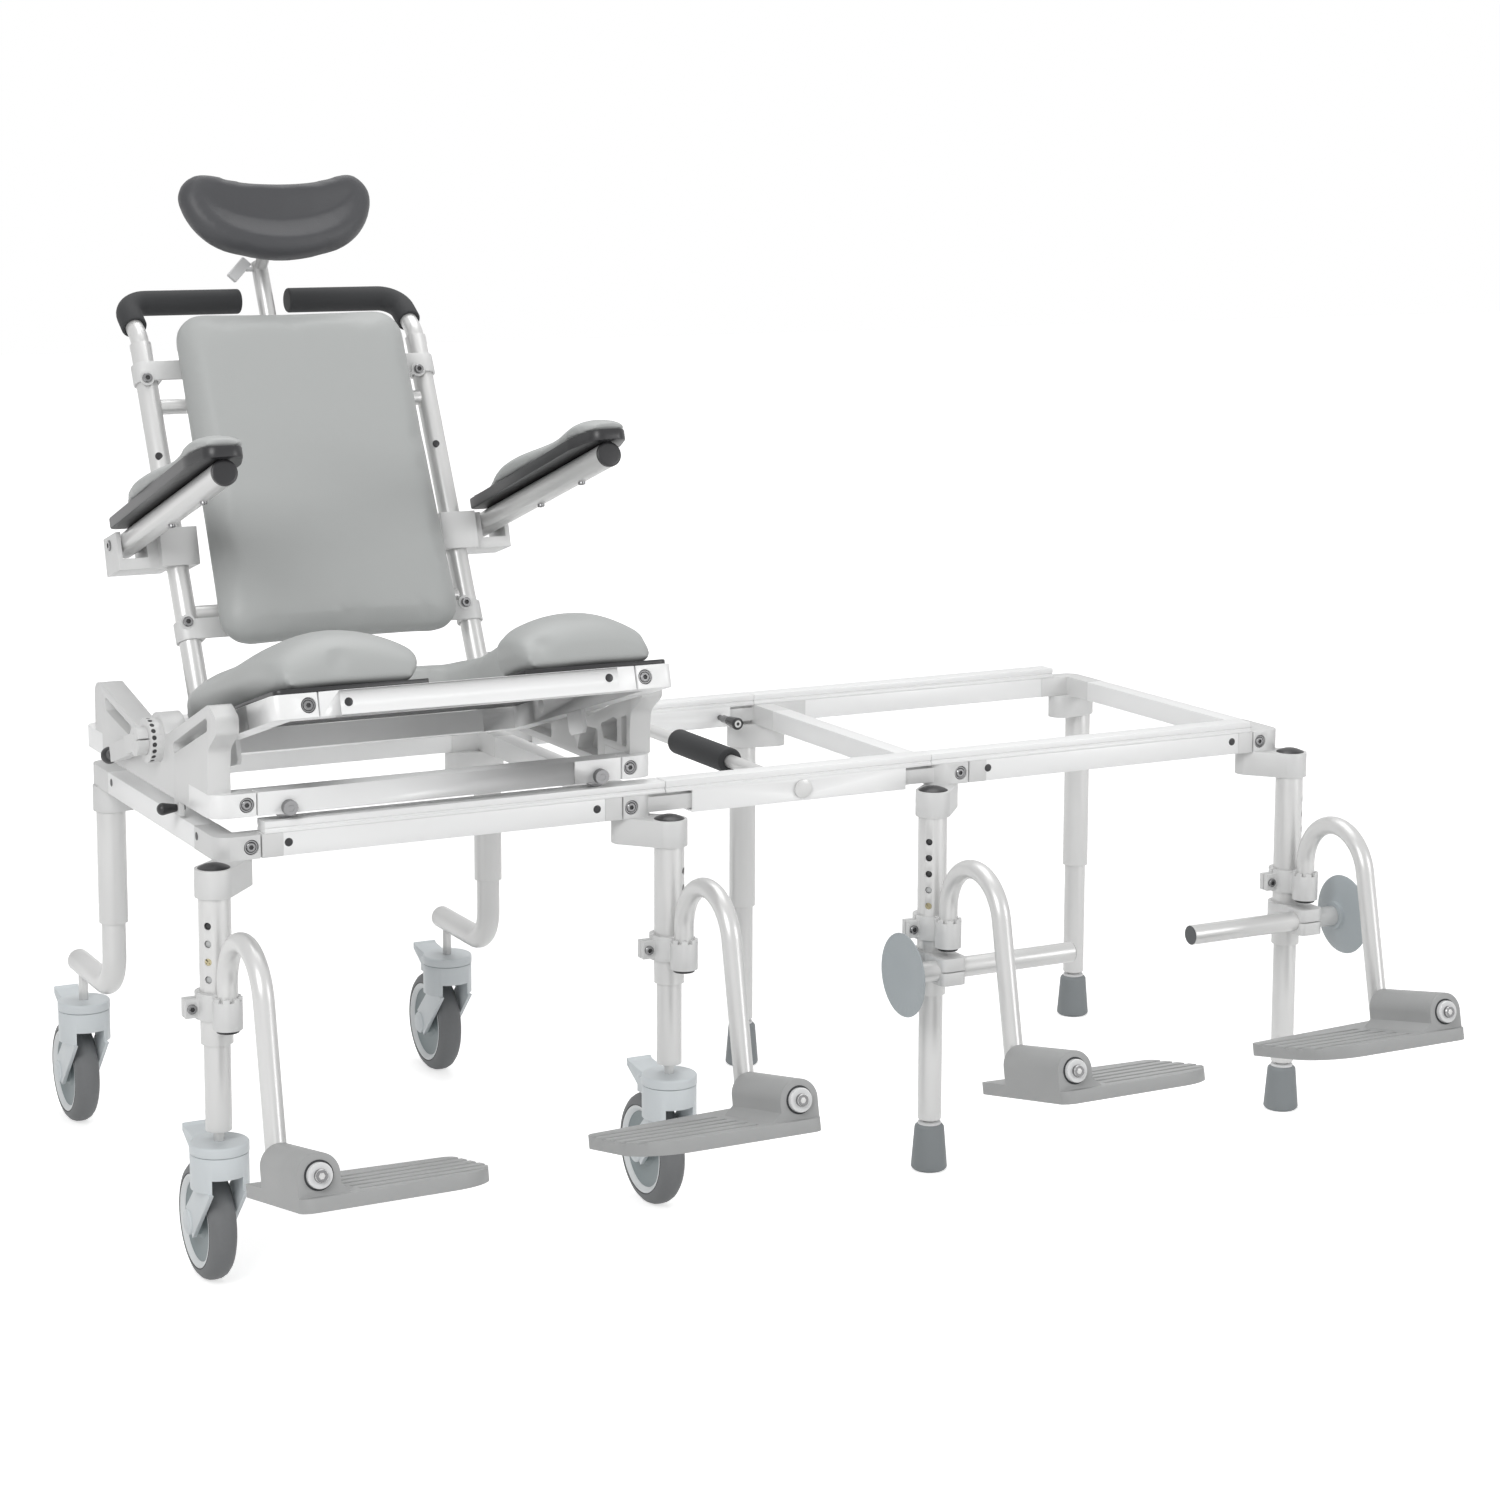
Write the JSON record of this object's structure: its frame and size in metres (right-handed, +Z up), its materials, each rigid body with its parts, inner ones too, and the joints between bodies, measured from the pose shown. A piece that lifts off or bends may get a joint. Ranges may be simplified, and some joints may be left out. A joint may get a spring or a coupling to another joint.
{
  "type": "shower commode chair",
  "caption": "Tilting shower commode chair on a wheeled base, with a docking bridge and a tub base whose tracks let the seat slide over the bath.",
  "frame": {"origin": "centre of the footprint on the floor, under the middle of the whole set", "axes": "+X from the wheeled base to the tub base, +Y to the back of the chair, +Z up"},
  "size_m": [1.481, 1.031, 1.1636],
  "materials": {
    "anodised_rail": "satin",
    "cast_white": "satin",
    "leg_tube": "satin",
    "black_cap": "matt",
    "caster_housing": "satin",
    "caster_tyre": "matt",
    "brake_grey": "satin",
    "footplate_grey": "matt",
    "rubber_foot": "matt",
    "wall_pad": "satin",
    "chrome_steel": "bright",
    "knob_black": "satin",
    "board_black": "matt",
    "cushion_grey": "matt",
    "foam_black": "matt",
    "headrest_black": "satin",
    "lever_white": "satin"
  },
  "bodies": {
    "chair_base": {"chair_rails": "anodised_rail", "chair_corner_castings": "cast_white", "chair_leg_tubes": "leg_tube", "chair_leg_caps": "black_cap", "chair_footrest_clamps": "cast_white"},
    "chair_legs": {"chair_inner_legs": "leg_tube"},
    "bridge": {"bridge_rails": "anodised_rail", "bridge_handle": "leg_tube"},
    "latch_chair_end": {"latch_pin_chair_end": "chrome_steel"},
    "latch_tub_end": {"latch_pin_tub_end": "chrome_steel"},
    "tub_base": {"tub_rails": "anodised_rail", "tub_corner_castings": "cast_white", "tub_leg_tubes": "leg_tube", "tub_leg_caps": "black_cap", "tub_leg_clamps": "cast_white"},
    "tub_legs": {"tub_inner_legs": "leg_tube", "tub_feet": "rubber_foot"},
    "stabiliser_left": {"stabiliser_left": "wall_pad"},
    "stabiliser_right": {"stabiliser_right": "wall_pad"},
    "carriage": {"carriage_frame": "anodised_rail", "tilt_brackets": "cast_white", "carriage_rollers": "chrome_steel"},
    "carriage_lock": {"carriage_lock_knob": "knob_black"},
    "seat": {"seat_frame": "anodised_rail", "seat_pan": "board_black", "seat_pad": "cushion_grey", "back_posts": "leg_tube", "push_grips": "foam_black", "back_cushion": "cushion_grey", "back_clips": "cast_white", "arm_mounts": "cast_white", "tilt_shafts": "cast_white"},
    "tilt_lock": {"tilt_plunger": "knob_black"},
    "headrest_slide": {"headrest_post": "leg_tube"},
    "headrest": {"headrest_pad": "headrest_black"},
    "headrest_lever": {"headrest_lever": "lever_white"},
    "arm_left": {"arm_tube_left": "leg_tube", "arm_pad_left": "cushion_grey"},
    "arm_right": {"arm_tube_right": "leg_tube", "arm_pad_right": "cushion_grey"},
    "fork_front_left": {"caster_fork_front_left": "caster_housing"},
    "wheel_front_left": {"caster_wheel_front_left": "caster_tyre"},
    "brake_front_left": {"brake_pedal_front_left": "brake_grey"},
    "fork_front_right": {"caster_fork_front_right": "caster_housing"},
    "wheel_front_right": {"caster_wheel_front_right": "caster_tyre"},
    "brake_front_right": {"brake_pedal_front_right": "brake_grey"},
    "fork_rear_left": {"caster_fork_rear_left": "caster_housing"},
    "wheel_rear_left": {"caster_wheel_rear_left": "caster_tyre"},
    "brake_rear_left": {"brake_pedal_rear_left": "brake_grey"},
    "fork_rear_right": {"caster_fork_rear_right": "caster_housing"},
    "wheel_rear_right": {"caster_wheel_rear_right": "caster_tyre"},
    "brake_rear_right": {"brake_pedal_rear_right": "brake_grey"},
    "hanger_chair_left": {"hanger_chair_left": "leg_tube"},
    "footplate_chair_left": {"footplate_chair_left": "footplate_grey"},
    "hanger_chair_right": {"hanger_chair_right": "leg_tube"},
    "footplate_chair_right": {"footplate_chair_right": "footplate_grey"},
    "hanger_tub_left": {"hanger_tub_left": "leg_tube"},
    "footplate_tub_left": {"footplate_tub_left": "footplate_grey"},
    "hanger_tub_right": {"hanger_tub_right": "leg_tube"},
    "footplate_tub_right": {"footplate_tub_right": "footplate_grey"}
  },
  "joints": [
    {"name": "chair_height", "type": "slide", "parent": "chair_base", "child": "chair_legs", "axis": [0, 0, -1], "range_m": [0, 0.038]},
    {"name": "swivel_front_left", "type": "hinge", "parent": "chair_legs", "child": "fork_front_left", "pos_m": [-0.705, -0.19255, 0.1635], "axis": [0, 0, 1], "continuous": true},
    {"name": "roll_front_left", "type": "hinge", "parent": "fork_front_left", "child": "wheel_front_left", "pos_m": [-0.705, -0.14855, 0.064], "axis": [1, 0, 0], "continuous": true},
    {"name": "brake_front_left", "type": "hinge", "parent": "fork_front_left", "child": "brake_front_left", "pos_m": [-0.705, -0.15655, 0.1405], "axis": [-1, 0, 0], "range_deg": [0, 14]},
    {"name": "swivel_front_right", "type": "hinge", "parent": "chair_legs", "child": "fork_front_right", "pos_m": [-0.1785, -0.19255, 0.1635], "axis": [0, 0, 1], "continuous": true},
    {"name": "roll_front_right", "type": "hinge", "parent": "fork_front_right", "child": "wheel_front_right", "pos_m": [-0.1785, -0.14855, 0.064], "axis": [1, 0, 0], "continuous": true},
    {"name": "brake_front_right", "type": "hinge", "parent": "fork_front_right", "child": "brake_front_right", "pos_m": [-0.1785, -0.15655, 0.1405], "axis": [-1, 0, 0], "range_deg": [0, 14]},
    {"name": "swivel_rear_left", "type": "hinge", "parent": "chair_legs", "child": "fork_rear_left", "pos_m": [-0.6785, 0.40745, 0.1635], "axis": [0, 0, 1], "continuous": true},
    {"name": "roll_rear_left", "type": "hinge", "parent": "fork_rear_left", "child": "wheel_rear_left", "pos_m": [-0.6785, 0.45145, 0.064], "axis": [1, 0, 0], "continuous": true},
    {"name": "brake_rear_left", "type": "hinge", "parent": "fork_rear_left", "child": "brake_rear_left", "pos_m": [-0.6785, 0.44345, 0.1405], "axis": [-1, 0, 0], "range_deg": [0, 14]},
    {"name": "swivel_rear_right", "type": "hinge", "parent": "chair_legs", "child": "fork_rear_right", "pos_m": [-0.2015, 0.40745, 0.1635], "axis": [0, 0, 1], "continuous": true},
    {"name": "roll_rear_right", "type": "hinge", "parent": "fork_rear_right", "child": "wheel_rear_right", "pos_m": [-0.2015, 0.45145, 0.064], "axis": [1, 0, 0], "continuous": true},
    {"name": "brake_rear_right", "type": "hinge", "parent": "fork_rear_right", "child": "brake_rear_right", "pos_m": [-0.2015, 0.44345, 0.1405], "axis": [-1, 0, 0], "range_deg": [0, 14]},
    {"name": "swing_chair_left", "type": "hinge", "parent": "chair_base", "child": "hanger_chair_left", "pos_m": [-0.705, -0.22955, 0.3095], "axis": [0, 0, 1], "range_deg": [-80, 0]},
    {"name": "flip_chair_left", "type": "hinge", "parent": "hanger_chair_left", "child": "footplate_chair_left", "pos_m": [-0.705, -0.37644, 0.1925], "axis": [0, -0.9799, 0.1994], "range_deg": [0, 90]},
    {"name": "swing_chair_right", "type": "hinge", "parent": "chair_base", "child": "hanger_chair_right", "pos_m": [-0.1785, -0.22955, 0.3095], "axis": [0, 0, 1], "range_deg": [0, 80]},
    {"name": "flip_chair_right", "type": "hinge", "parent": "hanger_chair_right", "child": "footplate_chair_right", "pos_m": [-0.1785, -0.37644, 0.1925], "axis": [0, 0.9799, -0.1994], "range_deg": [0, 90]},
    {"name": "swing_tub_left", "type": "hinge", "parent": "tub_base", "child": "hanger_tub_left", "pos_m": [0.164, -0.22955, 0.2935], "axis": [0, 0, 1], "range_deg": [-68, 0]},
    {"name": "flip_tub_left", "type": "hinge", "parent": "hanger_tub_left", "child": "footplate_tub_left", "pos_m": [0.164, -0.37644, 0.1765], "axis": [0, -0.9799, 0.1994], "range_deg": [0, 90]},
    {"name": "swing_tub_right", "type": "hinge", "parent": "tub_base", "child": "hanger_tub_right", "pos_m": [0.6795, -0.22955, 0.2935], "axis": [0, 0, 1], "range_deg": [0, 68]},
    {"name": "flip_tub_right", "type": "hinge", "parent": "hanger_tub_right", "child": "footplate_tub_right", "pos_m": [0.6795, -0.37644, 0.1765], "axis": [0, 0.9799, -0.1994], "range_deg": [0, 90]},
    {"name": "bridge_pull", "type": "slide", "parent": "chair_base", "child": "bridge", "axis": [1, 0, 0], "range_m": [0, 0.12]},
    {"name": "latch_push_chair_end", "type": "slide", "parent": "bridge", "child": "latch_chair_end", "axis": [0, 1, 0], "range_m": [0, 0.0095]},
    {"name": "latch_push_tub_end", "type": "slide", "parent": "bridge", "child": "latch_tub_end", "axis": [0, 1, 0], "range_m": [0, 0.0095]},
    {"name": "tub_pull", "type": "slide", "parent": "bridge", "child": "tub_base", "axis": [1, 0, 0], "range_m": [0, 0.12]},
    {"name": "tub_height", "type": "slide", "parent": "tub_base", "child": "tub_legs", "axis": [0, 0, -1], "range_m": [0, 0.038]},
    {"name": "stabiliser_reach_left", "type": "slide", "parent": "tub_base", "child": "stabiliser_left", "axis": [-1, 0, 0], "range_m": [-0.02, 0.12]},
    {"name": "stabiliser_reach_right", "type": "slide", "parent": "tub_base", "child": "stabiliser_right", "axis": [1, 0, 0], "range_m": [-0.02, 0.12]},
    {"name": "carriage_roll", "type": "slide", "parent": "chair_base", "child": "carriage", "axis": [1, 0, 0], "range_m": [0, 0.862]},
    {"name": "carriage_lock_pull", "type": "slide", "parent": "carriage", "child": "carriage_lock", "axis": [-1, 0, 0], "range_m": [0, 0.008]},
    {"name": "seat_tilt", "type": "hinge", "parent": "carriage", "child": "seat", "pos_m": [-0.445, 0.00645, 0.5565], "axis": [-1, 0, 0], "range_deg": [-16, 18]},
    {"name": "tilt_lock_push", "type": "slide", "parent": "seat", "child": "tilt_lock", "axis": [0, -0.9613, 0.2756], "range_m": [0, 0.007]},
    {"name": "headrest_height", "type": "slide", "parent": "seat", "child": "headrest_slide", "axis": [0, 0.4493, 0.8934], "range_m": [0, 0.08]},
    {"name": "headrest_angle", "type": "hinge", "parent": "headrest_slide", "child": "headrest", "pos_m": [-0.445, 0.34048, 1.09738], "axis": [1, 0, 0], "range_deg": [-12, 12]},
    {"name": "headrest_lever_turn", "type": "hinge", "parent": "headrest_slide", "child": "headrest_lever", "pos_m": [-0.455, 0.38601, 1.04792], "axis": [1, 0, 0], "range_deg": [-40, 40]},
    {"name": "arm_flip_left", "type": "hinge", "parent": "seat", "child": "arm_left", "pos_m": [-0.666, 0.22132, 0.74352], "axis": [-1, 0, 0], "range_deg": [0, 95]},
    {"name": "arm_flip_right", "type": "hinge", "parent": "seat", "child": "arm_right", "pos_m": [-0.224, 0.22132, 0.74352], "axis": [-1, 0, 0], "range_deg": [0, 95]}
  ]
}
